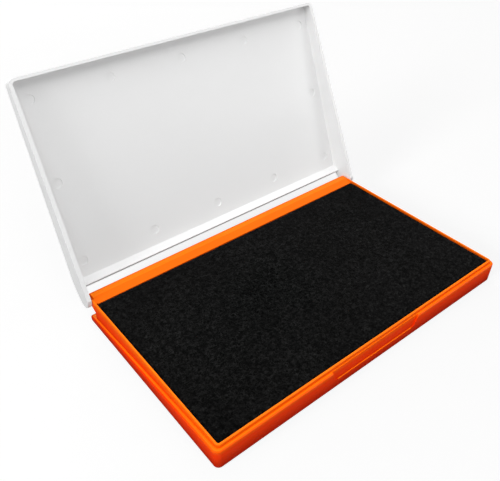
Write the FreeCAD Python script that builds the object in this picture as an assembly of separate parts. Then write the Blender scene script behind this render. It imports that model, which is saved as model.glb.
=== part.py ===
import FreeCAD, Part
import math
import os

# Large hinged ink pad: a plastic tray with an inked felt pad, and a shallow lid on two short pins.
# Millimetres. The origin is under the middle of the tray, on the face it stands on.
# +X runs along the hinge, +Y to the hinge side and +Z up. The lid is stored open.

V = FreeCAD.Vector

# ---- driving dimensions ----
PAD_LENGTH = 160.0          # felt well, inside the rim
PAD_DEPTH = 90.0
RIM_WALL = 0.9              # thin upright wall round the well
BACK_WALL = 1.2             # upright wall behind the well, under the hinge rail
SIDE_FLANGE = 1.85          # step outside the rim that the lid's walls stand on
FRONT_FLANGE = 1.5
RIM_TOP = 11.9              # height of the rim and of the hinge rail
FLANGE_FRONT_Z = 10.45      # the step is high at the front and falls towards the hinge
FLANGE_SLOPE = 0.0775
FLOOR = 1.6                 # tray floor thickness
TRAY_TAPER_SIDE = 0.8       # how far the foot is inside the flange's edge
TRAY_TAPER_FRONT = 0.6
CORNER_R = 3.0              # upright front corners of the tray and the lid
BACK_CORNER_R = 1.3         # upright back corners of the tray
FINGER_WIDTH = 52.6         # thumb recess in the middle of the front, at the top
FINGER_FOOT_WIDTH = 47.2
FINGER_DEPTH = 1.1          # its back face leans: this deep at the top, less at the sill
FINGER_FOOT_DEPTH = 0.8
FINGER_LOW_Z = 4.8
FINGER_CORNER_R = 2.2
FOOT_ROUND = 0.8
STEP_ROUND = 0.6            # outer edge of the step
RIM_ROUND = 0.2             # top edge of the rim
RAIL_ROUND = 0.3            # ends of the hinge rail
RIM_CORNER_R = 1.6
WELL_CORNER_R = 0.8

WELL_FRONT_Y = -48.6        # inner face of the rim at the front
HINGE_Y = 48.55             # hinge axis
HINGE_Z = 9.5
RAIL_BACK_Y = 48.1          # centre of the rail's rounded back
RAIL_R = 2.2
RAIL_SLOPE_Y = 45.6         # in front of this line the rail's top falls towards the pad
RAIL_FALL = 0.8
RAIL_STEP_Y = 44.6          # behind this line the rail is shorter, to clear the lid's arms
RAIL_STEP = 1.5             # only at the left end; the right end is as wide as the rim
RAIL_END_ROOT = 2.0         # the rim's side walls run on into the rail's ends by this much
RAIL_END_FOOT = 3.3         # height of those ends
RAIL_UNDERCUT = 1.5         # fall of the rail's underside, to the well's wall
TRAY_BACK_Y = 45.3          # back wall of the tray, under the rail
PIN_R = 1.2
PIN_GRIP = 6.0              # pressed length in the rail
PIN_RUN_GAP = 0.05          # radial running clearance in the lid's arms
PRESS = 0.01                # radial bite of the pins in the rail

OPEN_ANGLE = 110.6          # the lid's stop, measured from closed
LID_OVERHANG = 0.3          # the lid is this much larger than the flange
LID_SIDE_WALL = 1.9
LID_FRONT_WALL = 1.55
LID_INSIDE_Z = 15.4         # under the lid's panel when closed
LID_TOP_Z = 17.2
LID_DRAFT = 0.45            # the walls lean in towards the panel
LID_BACK_Y = 40.5           # the panel ends here, and a short wall slants down from it to the rail
LID_BACK_LEAN = 2.65        # how far back the slanted wall's lower edge is
LID_BACK_WALL = 1.4
LID_REST_GAP = 0.25         # between the closed lid and the tray
ARM_R = 5.5                 # rounded end of the lid's arms
ARM_MID_Y = 46.0            # centre of that rounding, closed
ARM_MID_Z = 8.4
ARM_BEND_Y = 38.5           # where the arm starts to fall towards its end
LID_STOCK_BACK_Y = 62.0     # the lid's rounded block starts this long, and the arms' outline ends it
PIN_HOLE_DEPTH = 1.35
PIN_END_GAP = 0.25
LID_ROUND = 1.3             # outer edge round the panel
LID_IN_ROUND = 0.4          # inner edge round the panel
LID_IN_CORNER_R = 1.4
MARK_R = 2.1                # ejector marks inside the lid
MARK_DEEP = 0.35
MARK_STEP_X = 37.6
MARK_STEP_Y = 37.0
MARK_MID_Y = -4.0

BOARD_T = 1.5               # stiff backing board under the felt
FELT_TOP = 11.15
PAD_TOP = 11.75
CLOTH_T = 0.55              # inked cover over the felt
PAD_GAP = 0.3               # round the pad, inside the well
CORE_GAP = 0.05             # between the felt and its cover
CLOTH_CORNER_R = 0.8
CLOTH_TOP_ROUND = 0.4
CORE_CORNER_R = 0.6
PIN_ROUND = 0.3
CLEAR = 1.0                 # how far cutters reach past what they cut
FAR = 200.0                 # beyond every part
BELOW = -5.0                # below every part of the closed lid
HAIR = 0.01                 # tolerance when edges are picked by height

# ---- worked out ----
WELL_X = PAD_LENGTH / 2
WELL_BACK_Y = WELL_FRONT_Y + PAD_DEPTH
RIM_X = WELL_X + RIM_WALL
RIM_FRONT_Y = WELL_FRONT_Y - RIM_WALL
TRAY_X = RIM_X + SIDE_FLANGE
TRAY_FRONT_Y = RIM_FRONT_Y - FRONT_FLANGE
LID_X = TRAY_X + LID_OVERHANG
LID_IN_X = LID_X - LID_SIDE_WALL
LID_FRONT_Y = TRAY_FRONT_Y - LID_OVERHANG
LID_FULL_Z = FLANGE_FRONT_Z / 2     # the lid's walls lean in from their full size at this height
RAIL_END_X = {-1: RIM_X - RAIL_STEP, 1: RIM_X}


def rounded_rect(x, y0, y1, z, r, back_r=None):
    """Closed wire: a rectangle from -x to x and y0 to y1 at height z, with corner radius r."""
    back = r if back_r is None else back_r
    corners = [(x, y0, 1, -1, r), (x, y1, 1, 1, back), (-x, y1, -1, 1, back), (-x, y0, -1, -1, r)]
    arcs = []
    for cx, cy, sx, sy, radius in corners:
        inset = radius * (1 - math.sqrt(0.5))
        along_x = V(cx - sx * radius, cy, z)
        along_y = V(cx, cy - sy * radius, z)
        first, last = (along_x, along_y) if sx * sy < 0 else (along_y, along_x)
        arcs.append((first, V(cx - sx * inset, cy - sy * inset, z), last))
    edges = []
    for i, (first, middle, last) in enumerate(arcs):
        edges.append(Part.Arc(first, middle, last).toShape())
        edges.append(Part.makeLine(last, arcs[(i + 1) % 4][0]))
    return Part.Wire(edges)


def prism(x, y0, y1, z0, z1, r):
    """Upright block with rounded corners."""
    return Part.Face(rounded_rect(x, y0, y1, z0, r)).extrude(V(0, 0, z1 - z0))


def side_profile(points, x0, x1):
    """Solid from a closed outline in the YZ plane, drawn from x0 to x1. A point is (y, z);
    a three-value entry (y, z, "arc") is the middle point of an arc to the next point."""
    edges = []
    plain = [V(x0, p[0], p[1]) for p in points]
    i = 0
    n = len(points)
    while i < n:
        j = (i + 1) % n
        if len(points[j]) == 3:
            k = (i + 2) % n
            edges.append(Part.Arc(plain[i], plain[j], plain[k]).toShape())
            i += 2
        else:
            edges.append(Part.makeLine(plain[i], plain[j]))
            i += 1
    return Part.Face(Part.Wire(edges)).extrude(V(x1 - x0, 0, 0))


def flange_z(y):
    return FLANGE_FRONT_Z - FLANGE_SLOPE * (y - TRAY_FRONT_Y)


def soften(shape, radius, wanted):
    """Round the edges for which wanted(edge) is true."""
    edges = [e for e in shape.Edges if wanted(e)]
    return shape.makeFillet(radius, edges) if edges else shape


def tray_outside():
    """Outer body: straight walls that lean in towards the foot."""
    wires = []
    for z, share in ((0.0, 1.0), (RIM_TOP, 0.0)):
        side = TRAY_TAPER_SIDE * share
        x = TRAY_X - side
        y0 = TRAY_FRONT_Y + TRAY_TAPER_FRONT * share
        back_r = BACK_CORNER_R - side / 2
        wires.append(rounded_rect(x, y0, TRAY_BACK_Y, z, CORNER_R - side, back_r))
    return Part.makeLoft(wires, True, True)


def hinge_rail():
    """Wide bar along the back with a rounded back edge; next to the well it is as wide as the rim."""
    low = RIM_TOP - 2 * RAIL_R
    front = (WELL_BACK_Y, RIM_TOP - RAIL_FALL)
    foot = (WELL_BACK_Y, low - RAIL_UNDERCUT)
    outline = [
        front,
        (RAIL_SLOPE_Y, RIM_TOP),
        (RAIL_BACK_Y, RIM_TOP),
        (RAIL_BACK_Y + RAIL_R, RIM_TOP - RAIL_R, "arc"),
        (RAIL_BACK_Y, low),
        (TRAY_BACK_Y, low),
        foot,
    ]
    rail = side_profile(outline, -RAIL_END_X[-1], RAIL_END_X[1])
    rail = soften(rail, RAIL_ROUND, lambda e: e.BoundBox.XLength < HAIR)
    step_top = RIM_TOP - RAIL_FALL * (RAIL_SLOPE_Y - RAIL_STEP_Y) / (RAIL_SLOPE_Y - WELL_BACK_Y)
    step = [front, (RAIL_STEP_Y, step_top), (RAIL_STEP_Y, RIM_TOP - RAIL_END_FOOT), foot]
    wide = side_profile(step, -WELL_X, WELL_X)
    inside = WELL_BACK_Y - RAIL_END_ROOT
    side_wall = [
        (inside, RIM_TOP),
        (RAIL_STEP_Y, RIM_TOP),
        (RAIL_STEP_Y, RIM_TOP - RAIL_END_FOOT),
        (inside, low - RAIL_UNDERCUT),
    ]
    top_z = RIM_TOP - HAIR
    walls = []
    for side in (-1, 1):
        wall = side_profile(side_wall, side * WELL_X, side * RIM_X)
        walls.append(soften(
            wall, RIM_ROUND,
            lambda e: e.BoundBox.ZMin > top_z and abs(e.BoundBox.Center.x) > RIM_X - HAIR))
    return rail.fuse([wide] + walls)


def finger_recess():
    """Cutter for the thumb recess: a leaning back face, a flat sill and rounded lower corners."""
    y_out = TRAY_FRONT_Y - CLEAR
    y_top = TRAY_FRONT_Y + FINGER_DEPTH
    y_foot = TRAY_FRONT_Y + FINGER_FOOT_DEPTH
    z_top = FLANGE_FRONT_Z + CLEAR
    top, foot = FINGER_WIDTH / 2, FINGER_FOOT_WIDTH / 2
    outline = [(-foot, FINGER_LOW_Z), (foot, FINGER_LOW_Z), (top, z_top), (-top, z_top)]
    corners = [V(x, y_out, z) for x, z in outline]
    front = Part.Face(Part.makePolygon(corners + corners[:1]))
    block = front.extrude(V(0, y_top + CLEAR - y_out, 0))
    block = soften(
        block, FINGER_CORNER_R,
        lambda e: e.BoundBox.ZMax < FINGER_LOW_Z + HAIR and e.BoundBox.XLength < HAIR)
    lean = side_profile(
        [(y_out, FINGER_LOW_Z), (y_foot, FINGER_LOW_Z), (y_top, z_top), (y_out, z_top)], -WELL_X, WELL_X)
    return block.common(lean)


def on_step(edge):
    """True for the edges all round the top of the tray's outer walls."""
    middle = edge.valueAt((edge.FirstParameter + edge.LastParameter) / 2)
    ends = [vertex.Point for vertex in edge.Vertexes]
    return all(abs(p.z - flange_z(p.y)) < HAIR for p in ends + [middle])


def base_tray():
    above = side_profile(
        [(-FAR, flange_z(-FAR)), (FAR, flange_z(FAR)), (FAR, FAR), (-FAR, FAR)], -FAR, FAR)
    body = tray_outside().cut(above)
    body = soften(body, FOOT_ROUND, lambda e: e.BoundBox.ZMax < HAIR)
    body = soften(body, STEP_ROUND, on_step)
    rim = prism(RIM_X, RIM_FRONT_Y, WELL_BACK_Y, FLOOR, RIM_TOP, RIM_CORNER_R)
    top_z = RIM_TOP - HAIR
    rim = soften(rim, RIM_ROUND, lambda e: e.BoundBox.ZMin > top_z and e.BoundBox.YMin < WELL_BACK_Y)
    lower_rim = prism(RIM_X, RIM_FRONT_Y, WELL_BACK_Y + BACK_WALL, FLOOR, HINGE_Z, RIM_CORNER_R)
    body = body.fuse([rim, lower_rim, hinge_rail()]).removeSplitter()
    well = prism(WELL_X, WELL_FRONT_Y, WELL_BACK_Y, FLOOR, RIM_TOP + CLEAR, WELL_CORNER_R)
    body = body.cut([well, finger_recess()])

    for side in (-1, 1):
        start = V(side * (RAIL_END_X[side] - PIN_GRIP), HINGE_Y, HINGE_Z)
        body = body.cut(Part.makeCylinder(PIN_R - PRESS, PIN_GRIP + CLEAR, start, V(side, 0, 0)))
    return body


def hinge_pin(side):
    """Short pin pressed into the end of the rail; its free end turns in the lid's arm."""
    inner = RAIL_END_X[side] - PIN_GRIP
    outer = LID_IN_X + PIN_HOLE_DEPTH - PIN_END_GAP
    pin = Part.makeCylinder(PIN_R, outer - inner, V(side * inner, HINGE_Y, HINGE_Z), V(side, 0, 0))
    return soften(pin, PIN_ROUND, lambda e: e.Closed)


def arm_point(angle):
    """Point on the arm's round end, at an angle in radians from +Y towards +Z."""
    return ARM_MID_Y + ARM_R * math.cos(angle), ARM_MID_Z + ARM_R * math.sin(angle)


def arm_end():
    """The arm's round end, lid closed: where it leaves the parting line, its middle, and where it
    meets the slope down from the panel."""
    slope = math.atan(FLANGE_SLOPE)
    drop = (ARM_MID_Z - flange_z(ARM_MID_Y) - LID_REST_GAP) * math.cos(slope)
    under = math.acos(drop / ARM_R) - math.pi / 2 - slope
    reach_y, reach_z = ARM_BEND_Y - ARM_MID_Y, LID_TOP_Z - ARM_MID_Z
    over = math.atan2(reach_z, reach_y) - math.acos(ARM_R / math.hypot(reach_y, reach_z))
    return arm_point(under), arm_point((under + over) / 2), arm_point(over)


def lid_outside():
    """Outer form of the lid: its side outline, with walls that lean in and rounded front corners."""
    front = LID_FRONT_Y - CLEAR
    under, halfway, over = arm_end()
    outline = [
        (front, flange_z(front) + LID_REST_GAP),
        under,
        (halfway[0], halfway[1], "arc"),
        over,
        (ARM_BEND_Y, LID_TOP_Z),
        (front, LID_TOP_Z),
    ]
    sides = side_profile(outline, -LID_X - CLEAR, LID_X + CLEAR)
    wires = []
    for z in (0.0, LID_TOP_Z + CLEAR):
        lean_in = LID_DRAFT * (z - LID_FULL_Z) / (LID_TOP_Z - LID_FULL_Z)
        wires.append(rounded_rect(
            LID_X - lean_in, LID_FRONT_Y + lean_in, LID_STOCK_BACK_Y, z, CORNER_R))
    shell = sides.common(Part.makeLoft(wires, True, True))
    top = LID_TOP_Z - HAIR
    return soften(
        shell, LID_ROUND,
        lambda e: e.BoundBox.ZMin > top and e.BoundBox.YMin < ARM_BEND_Y - CLEAR)


def lid_inside():
    """Cutters for the lid's inside, and for all that lies behind its slanted back wall."""
    rest = RIM_TOP + LID_REST_GAP
    front = LID_FRONT_Y + LID_FRONT_WALL
    lower_y = LID_BACK_Y + LID_BACK_LEAN
    room = [
        (front, BELOW),
        (front, LID_INSIDE_Z),
        (LID_BACK_Y, LID_INSIDE_Z),
        (lower_y, rest),
        (lower_y, BELOW),
    ]
    hollow = side_profile(room, -LID_IN_X, LID_IN_X)
    hollow = hollow.common(prism(LID_IN_X, front, FAR, BELOW, FAR, LID_IN_CORNER_R))
    hollow = soften(hollow, LID_IN_ROUND, lambda e: e.BoundBox.ZMin > LID_INSIDE_Z - HAIR)
    drop = LID_INSIDE_Z - rest
    slant = math.hypot(LID_BACK_LEAN, drop)
    along_y, along_z = LID_BACK_LEAN / slant, -drop / slant
    edge_y, edge_z = lower_y - LID_BACK_WALL * along_z, rest + LID_BACK_WALL * along_y
    over = LID_TOP_Z + CLEAR
    run = (over - edge_z) / along_z
    behind = side_profile(
        [(lower_y, BELOW), (lower_y, rest), (edge_y, edge_z), (edge_y + run * along_y, over),
         (FAR, over), (FAR, BELOW)],
        -LID_IN_X, LID_IN_X)
    return [hollow, behind]


def ejector_marks():
    """Faint round marks on the panel's inside, where the mould's pins pushed."""
    marks = []
    for x in (-2, -1, 0, 1, 2):
        for y in (-1, 0, 1):
            if abs(x) == 2 or y != 0:
                start = V(x * MARK_STEP_X, y * MARK_STEP_Y + MARK_MID_Y, LID_INSIDE_Z)
                marks.append(Part.makeCylinder(MARK_R, MARK_DEEP, start))
    return marks


def lid():
    shell = lid_outside().cut(lid_inside() + ejector_marks())
    for side in (-1, 1):
        start = V(side * (LID_IN_X - CLEAR), HINGE_Y, HINGE_Z)
        hole = Part.makeCylinder(PIN_R + PIN_RUN_GAP, PIN_HOLE_DEPTH + CLEAR, start, V(side, 0, 0))
        shell = shell.cut(hole)
    shell.rotate(V(0, HINGE_Y, HINGE_Z), V(1, 0, 0), -OPEN_ANGLE)
    return shell


def pad_block(inset, z0, z1, r):
    """Upright block that fills the well, inset from its walls."""
    return prism(WELL_X - inset, WELL_FRONT_Y + inset, WELL_BACK_Y - inset, z0, z1, r)


def backing_board():
    return pad_block(PAD_GAP, FLOOR, FLOOR + BOARD_T, CLOTH_CORNER_R)


def felt_core():
    return pad_block(PAD_GAP + CLOTH_T + CORE_GAP, FLOOR + BOARD_T, FELT_TOP, CORE_CORNER_R)


def ink_cloth():
    """Cover over the felt: a skin on top, turned down the sides to the board."""
    low = FLOOR + BOARD_T
    outer = pad_block(PAD_GAP, low, PAD_TOP, CLOTH_CORNER_R)
    outer = soften(outer, CLOTH_TOP_ROUND, lambda e: e.BoundBox.ZMin > PAD_TOP - HAIR)
    return outer.cut(pad_block(PAD_GAP + CLOTH_T, low - CLEAR, FELT_TOP + CORE_GAP, CORE_CORNER_R))


PARTS = {
    "base_tray": base_tray,
    "hinge_pin_left": lambda: hinge_pin(-1),
    "hinge_pin_right": lambda: hinge_pin(1),
    "lid": lid,
    "backing_board": backing_board,
    "felt_core": felt_core,
    "ink_cloth": ink_cloth,
}

os.makedirs("parts", exist_ok=True)
for name, make in PARTS.items():
    solid = make()
    solid.exportStep("parts/" + name + ".step")
    b = solid.BoundBox
    print("%s: %d solid, valid %s, %.1f cm3, x %.2f %.2f y %.2f %.2f z %.2f %.2f" % (
        name, len(solid.Solids), solid.isValid(), solid.Volume / 1000,
        b.XMin, b.XMax, b.YMin, b.YMax, b.ZMin, b.ZMax))
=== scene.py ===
import math

import bmesh
import bpy
from mathutils import Euler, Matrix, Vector, noise


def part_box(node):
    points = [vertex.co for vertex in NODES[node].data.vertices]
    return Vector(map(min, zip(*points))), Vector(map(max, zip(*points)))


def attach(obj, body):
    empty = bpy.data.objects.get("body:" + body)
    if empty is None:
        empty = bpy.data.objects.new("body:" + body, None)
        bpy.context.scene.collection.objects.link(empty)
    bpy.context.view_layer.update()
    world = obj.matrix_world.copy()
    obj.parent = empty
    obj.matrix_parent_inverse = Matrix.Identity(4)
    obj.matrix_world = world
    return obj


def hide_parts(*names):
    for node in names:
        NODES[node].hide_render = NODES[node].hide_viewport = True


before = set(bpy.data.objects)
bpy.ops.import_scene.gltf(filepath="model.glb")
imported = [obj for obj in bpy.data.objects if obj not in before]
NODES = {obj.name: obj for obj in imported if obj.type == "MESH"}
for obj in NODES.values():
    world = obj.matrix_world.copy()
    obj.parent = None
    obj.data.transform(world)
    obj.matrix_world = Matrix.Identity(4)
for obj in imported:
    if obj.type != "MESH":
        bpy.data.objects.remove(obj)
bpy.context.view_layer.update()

# Looks for a large hinged ink pad. Metres, +Z up, the hinge along +X at the back (+Y).

MM = 0.001

# Colours, as linear light. The tray's run from faces that look up to walls, and down to the foot;
# these steps are painted light and shade on one orange plastic: lit tops, shaded walls and a darker
# foot.
# painted light: the lit copy of the orange, for faces that look up
ORANGE_TOP_LIT = (0.95, 0.190, 0.004)
ORANGE_LIP_LIT = (0.92, 0.125, 0.001)       # painted light: the thin rim and the top of the walls, lighter than the walls below
# painted shade: the darker, redder copy of the same orange, for the walls
ORANGE_WALL = (0.89, 0.041, 0.0003)
# painted shade: the walls' orange darkened near the floor
ORANGE_FOOT_SHADE = (0.43, 0.010, 0.0001)
ORANGE_CLOUD = (0.75, 0.03, 0.0005)     # faint clouds in the moulding
ORANGE_AFAR = (0.42, 0.36, 0.34)        # seen by bounced light from further off, to keep the lid white
WHITE_LID = (0.83, 0.83, 0.83)
INK_DARK = (0.0004, 0.0004, 0.0004)
INK_LIGHT = (0.031, 0.031, 0.0305)
BOARD_BROWN = (0.42, 0.33, 0.22)
FLOOR_WHITE = (0.40, 0.40, 0.40)
BOUNCE_GREY = (0.46, 0.46, 0.46)

MOULDED_IOR = 1.49

# Heights on the tray between which one orange turns into the next: painted shade darkens the walls
# towards the foot, and painted light brightens them towards the lip
FOOT_SHADE_SPAN = (0.5 * MM, 7.0 * MM)
LIP_LIGHT_SPAN = (8.0 * MM, 11.0 * MM)
LIT_TOP_SPAN = (0.976, 0.996)            # upright part of a face's normal, from the wall colour to the painted lit top colour
AFAR_SPAN = (1.0 * MM, 4.0 * MM)        # length of the bounced light's way
MID_NOISE = (0.3, 0.7)                  # the range that most of a noise's values lie in

# Camera
CAM_PLACE = Vector((-0.15417, -0.15888, 0.20249))
CAM_AZIMUTH = math.radians(-38.72)
CAM_ELEVATION = math.radians(34.82)
CAM_LENS = 45.3
CAM_SENSOR = 36.0
CAM_SHIFT_Y = -0.0607
CAM_NEAREST = 0.01

# Felt pad
PAD_STEP = 1.0 * MM             # mesh spacing
PAD_EDGE_R = 0.9 * MM           # rolled edge
PAD_CROWN = 0.25 * MM
PAD_PULL = 0.25 * MM            # how far the sides pull in between the corners
PAD_PULL_POWER = 8              # keeps the pull to the sides
PAD_CROWN_POWER = 4             # keeps the crown's fall to the edges
SWELL_SCALE = 55
SWELL_FRACTAL = (0.8, 2.0, 3)   # fall-off, ratio of one octave to the next, octaves
SWELL_HEIGHT = 0.05 * MM
MATTED_SCALE = 650
MATTED_HEIGHT = 0.05 * MM
SAME_POINT = 0.01 * MM          # mesh points closer than this are one

# Studio
FLOOR_REACH = 12.0
FLOOR_GLOW = 0.84
SEEN_FLOOR_Z = -0.02 * MM
BOUNCE_FLOOR_Z = -0.01 * MM
SKY_HORIZON = 0.1               # the sky's light changes between this far below and above level
SKY_LOW, SKY_HIGH = 0.04, 0.20


# ---------- node helpers ----------

class Shader:
    """A new material with small helpers, so that each material below reads as a list of its layers."""

    def __init__(self, name, **sockets):
        self.mat = bpy.data.materials.new(name)
        self.mat.use_nodes = True
        self.tree = self.mat.node_tree
        self.bsdf = self.tree.nodes["Principled BSDF"]
        for key, value in sockets.items():
            self.bsdf.inputs[key.replace("_", " ")].default_value = value
        self.place = self.add("ShaderNodeTexCoord").outputs["Object"]

    def add(self, kind, **settings):
        node = self.tree.nodes.new(kind)
        for key, value in settings.items():
            setattr(node, key, value)
        return node

    def join(self, out, socket):
        self.tree.links.new(out, socket)

    def noise(self, scale, detail=3.0, rough=0.5, stretch=None, distortion=0.0):
        node = self.add("ShaderNodeTexNoise")
        node.inputs["Scale"].default_value = scale
        node.inputs["Detail"].default_value = detail
        node.inputs["Roughness"].default_value = rough
        node.inputs["Distortion"].default_value = distortion
        source = self.place
        if stretch:
            mapping = self.add("ShaderNodeMapping")
            mapping.inputs["Scale"].default_value = stretch
            self.join(self.place, mapping.inputs["Vector"])
            source = mapping.outputs["Vector"]
        self.join(source, node.inputs["Vector"])
        return node.outputs["Fac"]

    def span(self, value, low, high, to_low=0.0, to_high=1.0):
        """Maps value from low..high to to_low..to_high, clamped."""
        node = self.add("ShaderNodeMapRange")
        limits = (("From Min", low), ("From Max", high), ("To Min", to_low), ("To Max", to_high))
        for key, number in limits:
            node.inputs[key].default_value = number
        self.join(value, node.inputs["Value"])
        return node.outputs["Result"]

    def math(self, operation, a, b):
        node = self.add("ShaderNodeMath", operation=operation)
        self.join(a, node.inputs[0])
        self.join(b, node.inputs[1])
        return node.outputs["Value"]

    def mix(self, factor, a, b):
        """Blends the colours a and b, which are tuples or outputs of other nodes."""
        node = self.add("ShaderNodeMix", data_type="RGBA")
        self.join(factor, node.inputs["Factor"])
        for key, value in (("A_Color", a), ("B_Color", b)):
            socket = next(i for i in node.inputs if i.identifier == key)
            if isinstance(value, tuple):
                socket.default_value = (*value, 1.0)
            else:
                self.join(value, socket)
        return next(o for o in node.outputs if o.identifier == "Result_Color")

    def bump(self, height, distance, strength, under=None):
        node = self.add("ShaderNodeBump")
        node.inputs["Strength"].default_value = strength
        node.inputs["Distance"].default_value = distance
        self.join(height, node.inputs["Height"])
        if under is not None:
            self.join(under, node.inputs["Normal"])
        return node.outputs["Normal"]

    def finish(self, colour=None, roughness=None, normal=None):
        for key, out in (("Base Color", colour), ("Roughness", roughness), ("Normal", normal)):
            if out is not None:
                self.join(out, self.bsdf.inputs[key])
        return self.mat


# ---------- materials ----------

def dimmed(colour, share):
    """The colour at that share of its brightness."""
    return tuple(share * c for c in colour)


def tray_plastic():
    """Satin orange moulding with painted light and shade: faces that look up are painted lighter and
    yellower than the walls, which are a deep red-orange shaded copy and are painted darker towards the
    foot; the rim and the tops of the walls are painted lighter."""
    s = Shader("tray_plastic", Specular_IOR_Level=0.045, IOR=MOULDED_IOR)
    facing = s.add("ShaderNodeNewGeometry").outputs["True Normal"]
    split = s.add("ShaderNodeSeparateXYZ")
    s.join(facing, split.inputs["Vector"])
    # Painted light and shade: faces that look up take the lit top colour, and the others take the
    # shaded wall colour.
    lit_top = s.span(split.outputs["Z"], *LIT_TOP_SPAN)
    spot = s.add("ShaderNodeSeparateXYZ")
    s.join(s.place, spot.inputs["Vector"])
    # Painted shade: the walls are darkened towards the foot, below 7 mm up.
    wall = s.mix(s.span(spot.outputs["Z"], *FOOT_SHADE_SPAN), ORANGE_FOOT_SHADE, ORANGE_WALL)
    # Painted light: the walls brighten into the lighter rim colour between 8 and 11 mm up.
    wall = s.mix(s.span(spot.outputs["Z"], *LIP_LIGHT_SPAN), wall, ORANGE_LIP_LIT)
    cloud = s.noise(scale=55)
    body = s.mix(lit_top, wall, ORANGE_TOP_LIT)
    shade = s.mix(s.span(cloud, *MID_NOISE, 0.0, 0.10), body, ORANGE_CLOUD)
    ray = s.add("ShaderNodeLightPath")
    length = s.span(ray.outputs["Ray Length"], *AFAR_SPAN)
    afar = s.math("MULTIPLY", ray.outputs["Is Diffuse Ray"], length)
    shade = s.mix(afar, shade, ORANGE_AFAR)
    fine = s.span(s.noise(scale=420, detail=4.0), *MID_NOISE, -0.04, 0.06)
    rough = s.math("ADD", fine, s.span(cloud, *MID_NOISE, 0.30, 0.38))
    skin = s.bump(s.noise(scale=2600, rough=0.6), distance=0.012 * MM, strength=0.5)
    waves = s.noise(scale=70, detail=1.5, rough=0.4, stretch=(0.35, 1.0, 1.6))
    flow = s.bump(waves, distance=0.12 * MM, strength=0.35, under=skin)
    return s.finish(shade, rough, flow)


def lid_plastic():
    """White moulding with a satin grain and faint flow clouds."""
    s = Shader("lid_plastic", Specular_IOR_Level=0.35, IOR=MOULDED_IOR)
    cloud = s.noise(scale=24, stretch=(0.6, 1.0, 1.0))
    fine = s.noise(scale=900, rough=0.6)
    shade = s.mix(s.span(cloud, *MID_NOISE), dimmed(WHITE_LID, 0.97), WHITE_LID)
    grit = s.span(fine, *MID_NOISE, -0.04, 0.05)
    rough = s.math("ADD", grit, s.span(cloud, *MID_NOISE, 0.40, 0.50))
    grain = s.bump(fine, distance=0.02 * MM, strength=0.5)
    waves = s.noise(scale=30, detail=1.0, rough=0.3, stretch=(0.5, 1.0, 1.0))
    flow = s.bump(waves, distance=0.2 * MM, strength=0.3, under=grain)
    return s.finish(shade, rough, flow)


def inked_felt():
    """Matted felt soaked in black ink: short fibres in every direction, some drier and lighter."""
    s = Shader("inked_felt", Specular_IOR_Level=0.02, Sheen_Weight=0.01, Sheen_Roughness=0.5)
    matting = dict(scale=1400, detail=4.0, rough=0.65, distortion=1.2)
    along = s.noise(stretch=(0.5, 1.0, 1.0), **matting)
    across = s.noise(stretch=(1.0, 0.5, 1.0), **matting)
    fibres = s.math("MAXIMUM", along, across)
    mottle = s.noise(scale=640, rough=0.6)
    patch = s.noise(scale=38, detail=2.0)
    light = s.math("MULTIPLY", s.span(fibres, 0.45, 0.78), s.span(mottle, 0.35, 0.68, 0.15, 1.0))
    light = s.math("MULTIPLY", light, s.span(patch, *MID_NOISE, 0.7, 1.0))
    shade = s.mix(light, INK_DARK, INK_LIGHT)
    rough = s.span(mottle, *MID_NOISE, 0.80, 0.97)
    lay = s.bump(fibres, distance=0.25 * MM, strength=0.8)
    lumps = s.bump(mottle, distance=0.35 * MM, strength=0.5, under=lay)
    return s.finish(shade, rough, lumps)


def board_material():
    """Grey-brown board with pressed fibres."""
    s = Shader("board", Specular_IOR_Level=0.2)
    fibre = s.noise(scale=700, detail=5.0, rough=0.7, stretch=(0.3, 1.0, 1.0))
    shade = s.mix(s.span(fibre, 0.35, 0.65), dimmed(BOARD_BROWN, 0.7), BOARD_BROWN)
    rough = s.span(fibre, *MID_NOISE, 0.8, 0.95)
    return s.finish(shade, rough, s.bump(fibre, distance=0.05 * MM, strength=0.6))


def floor_material():
    """Plain pale paper that glows a little, so that its shadows stay light."""
    s = Shader("studio_floor", Specular_IOR_Level=0.0, Roughness=1.0,
               Emission_Color=(1.0, 1.0, 1.0, 1.0), Emission_Strength=FLOOR_GLOW)
    fleck = s.span(s.noise(scale=60, detail=2.0), *MID_NOISE)
    return s.finish(s.mix(fleck, FLOOR_WHITE, dimmed(FLOOR_WHITE, 0.97)))


def bounce_material():
    """Grey floor that throws light back up at the object."""
    s = Shader("bounce_floor", Specular_IOR_Level=0.0, Roughness=1.0, Base_Color=(*BOUNCE_GREY, 1.0))
    return s.mat


def dress(node, material):
    """Gives a CAD node its material."""
    slots = NODES[node].data.materials
    slots.clear()
    slots.append(material)


# ---------- felt pad ----------

def block_grid(half, step):
    """A box of shared quads about the origin, as a bmesh, with about step between its vertices."""
    bm = bmesh.new()
    for axis in range(3):
        u, v = [i for i in range(3) if i != axis]
        nu, nv = (max(2, round(2 * half[i] / step)) for i in (u, v))
        for side in (-1, 1):
            rows = []
            for i in range(nu + 1):
                row = []
                for j in range(nv + 1):
                    p = [0.0, 0.0, 0.0]
                    p[axis] = side * half[axis]
                    p[u] = half[u] * (2 * i / nu - 1)
                    p[v] = half[v] * (2 * j / nv - 1)
                    row.append(bm.verts.new(p))
                rows.append(row)
            for i in range(nu):
                for j in range(nv):
                    bm.faces.new((rows[i][j], rows[i + 1][j], rows[i + 1][j + 1], rows[i][j + 1]))
    bmesh.ops.remove_doubles(bm, verts=bm.verts, dist=SAME_POINT)
    bmesh.ops.recalc_face_normals(bm, faces=bm.faces)
    return bm


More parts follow.
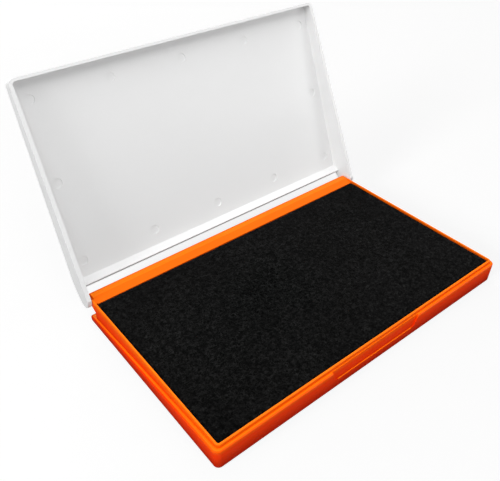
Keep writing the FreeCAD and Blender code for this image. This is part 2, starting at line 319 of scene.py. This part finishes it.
def felt_pad():
    """The inked felt block: a crowned top, rolled edges, sides that pull in and a matted surface."""
    low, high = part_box("ink_cloth")
    centre = (low + high) / 2
    half = (high - low) / 2
    bm = block_grid(half, PAD_STEP)
    inner = half - Vector((PAD_EDGE_R,) * 3)
    for vert in bm.verts:
        p = vert.co
        core = Vector(max(-i, min(i, c)) for c, i in zip(p, inner))
        out = p - core
        p = core + out.normalized() * PAD_EDGE_R
        fx, fy = p.x / half.x, p.y / half.y
        upper = (p.z / half.z + 1) / 2
        p.x -= math.copysign(PAD_PULL, p.x) * abs(fx) ** PAD_PULL_POWER * (1 - fy * fy) * upper
        p.y -= math.copysign(PAD_PULL, p.y) * abs(fy) ** PAD_PULL_POWER * (1 - fx * fx) * upper
        lift = (1 - fx ** PAD_CROWN_POWER) * (1 - fy ** PAD_CROWN_POWER)
        swell = noise.fractal(Vector((p.x, p.y, 0)) * SWELL_SCALE, *SWELL_FRACTAL)
        matted = noise.noise(p * MATTED_SCALE)
        p.z -= PAD_CROWN * (1 - lift) * upper
        p.z += (SWELL_HEIGHT * swell + MATTED_HEIGHT * matted) * upper * lift
        vert.co = centre + p
    mesh = bpy.data.meshes.new("inked_felt_pad")
    bm.to_mesh(mesh)
    bm.free()
    mesh.polygons.foreach_set("use_smooth", [True] * len(mesh.polygons))
    pad = bpy.data.objects.new("inked_felt_pad", mesh)
    bpy.context.scene.collection.objects.link(pad)
    mesh.materials.append(inked_felt())
    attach(pad, "tray")
    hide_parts("ink_cloth", "felt_core")


# ---------- studio ----------

def floor(name, material, height, camera=False, diffuse=False):
    """A large plane, shown to the camera's rays, to diffuse light's, or to neither."""
    mesh = bpy.data.meshes.new(name)
    r = FLOOR_REACH
    corners = [(-r, -r, 0), (r, -r, 0), (r, r, 0), (-r, r, 0)]
    mesh.from_pydata(corners, [], [(0, 1, 2, 3)])
    mesh.materials.append(material)
    plane = bpy.data.objects.new(name, mesh)
    bpy.context.scene.collection.objects.link(plane)
    plane.location.z = height
    plane.visible_camera = camera
    plane.visible_diffuse = diffuse
    plane.visible_glossy = False
    plane.visible_transmission = False
    plane.visible_shadow = False


def area_light(name, place, target, size, watts, diffuse=True):
    """A rectangular light; without diffuse it shows only in gloss."""
    data = bpy.data.lights.new(name, "AREA")
    data.shape = "RECTANGLE"
    data.size, data.size_y = size
    data.energy = watts
    light = bpy.data.objects.new(name, data)
    light.location = place
    light.rotation_euler = (Vector(target) - Vector(place)).to_track_quat("-Z", "Y").to_euler()
    light.visible_diffuse = diffuse
    bpy.context.scene.collection.objects.link(light)


def sky():
    """White to look at; as light, dim above and dark below."""
    world = bpy.data.worlds.new("studio")
    world.use_nodes = True
    tree = world.node_tree
    background = tree.nodes["Background"]
    background.inputs["Color"].default_value = (1, 1, 1, 1)
    ray = tree.nodes.new("ShaderNodeLightPath")
    direction = tree.nodes.new("ShaderNodeSeparateXYZ")
    height = tree.nodes.new("ShaderNodeMapRange")
    limits = (
        ("From Min", -SKY_HORIZON),
        ("From Max", SKY_HORIZON),
        ("To Min", SKY_LOW),
        ("To Max", SKY_HIGH),
    )
    for key, number in limits:
        height.inputs[key].default_value = number
    seen = tree.nodes.new("ShaderNodeMath")
    seen.operation = "MAXIMUM"
    place = tree.nodes.new("ShaderNodeTexCoord")
    tree.links.new(place.outputs["Generated"], direction.inputs["Vector"])
    tree.links.new(direction.outputs["Z"], height.inputs["Value"])
    tree.links.new(ray.outputs["Is Camera Ray"], seen.inputs[0])
    tree.links.new(height.outputs["Result"], seen.inputs[1])
    tree.links.new(seen.outputs["Value"], background.inputs["Strength"])
    bpy.context.scene.world = world


def studio():
    """Floors, sky and soft lights."""
    floor("studio_floor", floor_material(), SEEN_FLOOR_Z, camera=True)
    floor("bounce_floor", bounce_material(), BOUNCE_FLOOR_Z, diffuse=True)
    sky()
    area_light("overhead", (0.0, 0.0, 1.3), (0, 0, 0), (2.4, 2.2), 30)
    area_light("left", (-1.45, -0.10, 0.60), (0, 0, 0.03), (0.5, 0.5), 9.8)
    area_light("back_fill", (0.2, 1.4, 0.7), (0, 0, 0.03), (0.8, 0.6), 7.0)
    area_light("front_fill", (-0.2, -1.6, 0.75), (0, 0.05, 0.05), (0.8, 0.5), 4.8)
    area_light(
        "right_card", (1.1, -1.35, 0.35), (0, 0.05, 0.05), (1.2, 0.6), 26.0, diffuse=False)


def camera():
    """Looks down on the open pad from in front of its left corner."""
    data = bpy.data.cameras.new("camera")
    data.lens = CAM_LENS
    data.sensor_width = CAM_SENSOR
    data.shift_y = CAM_SHIFT_Y
    data.clip_start = CAM_NEAREST
    cam = bpy.data.objects.new("camera", data)
    cam.location = CAM_PLACE
    cam.rotation_euler = Euler((math.pi / 2 - CAM_ELEVATION, 0, CAM_AZIMUTH))
    bpy.context.scene.collection.objects.link(cam)
    bpy.context.scene.camera = cam


# ---------- assembly ----------

orange = tray_plastic()
dress("base_tray", orange)
for pin in ("hinge_pin_left", "hinge_pin_right"):
    dress(pin, orange)
dress("lid", lid_plastic())
dress("backing_board", board_material())
felt_pad()
studio()
camera()
bpy.context.scene.view_settings.view_transform = "Standard"
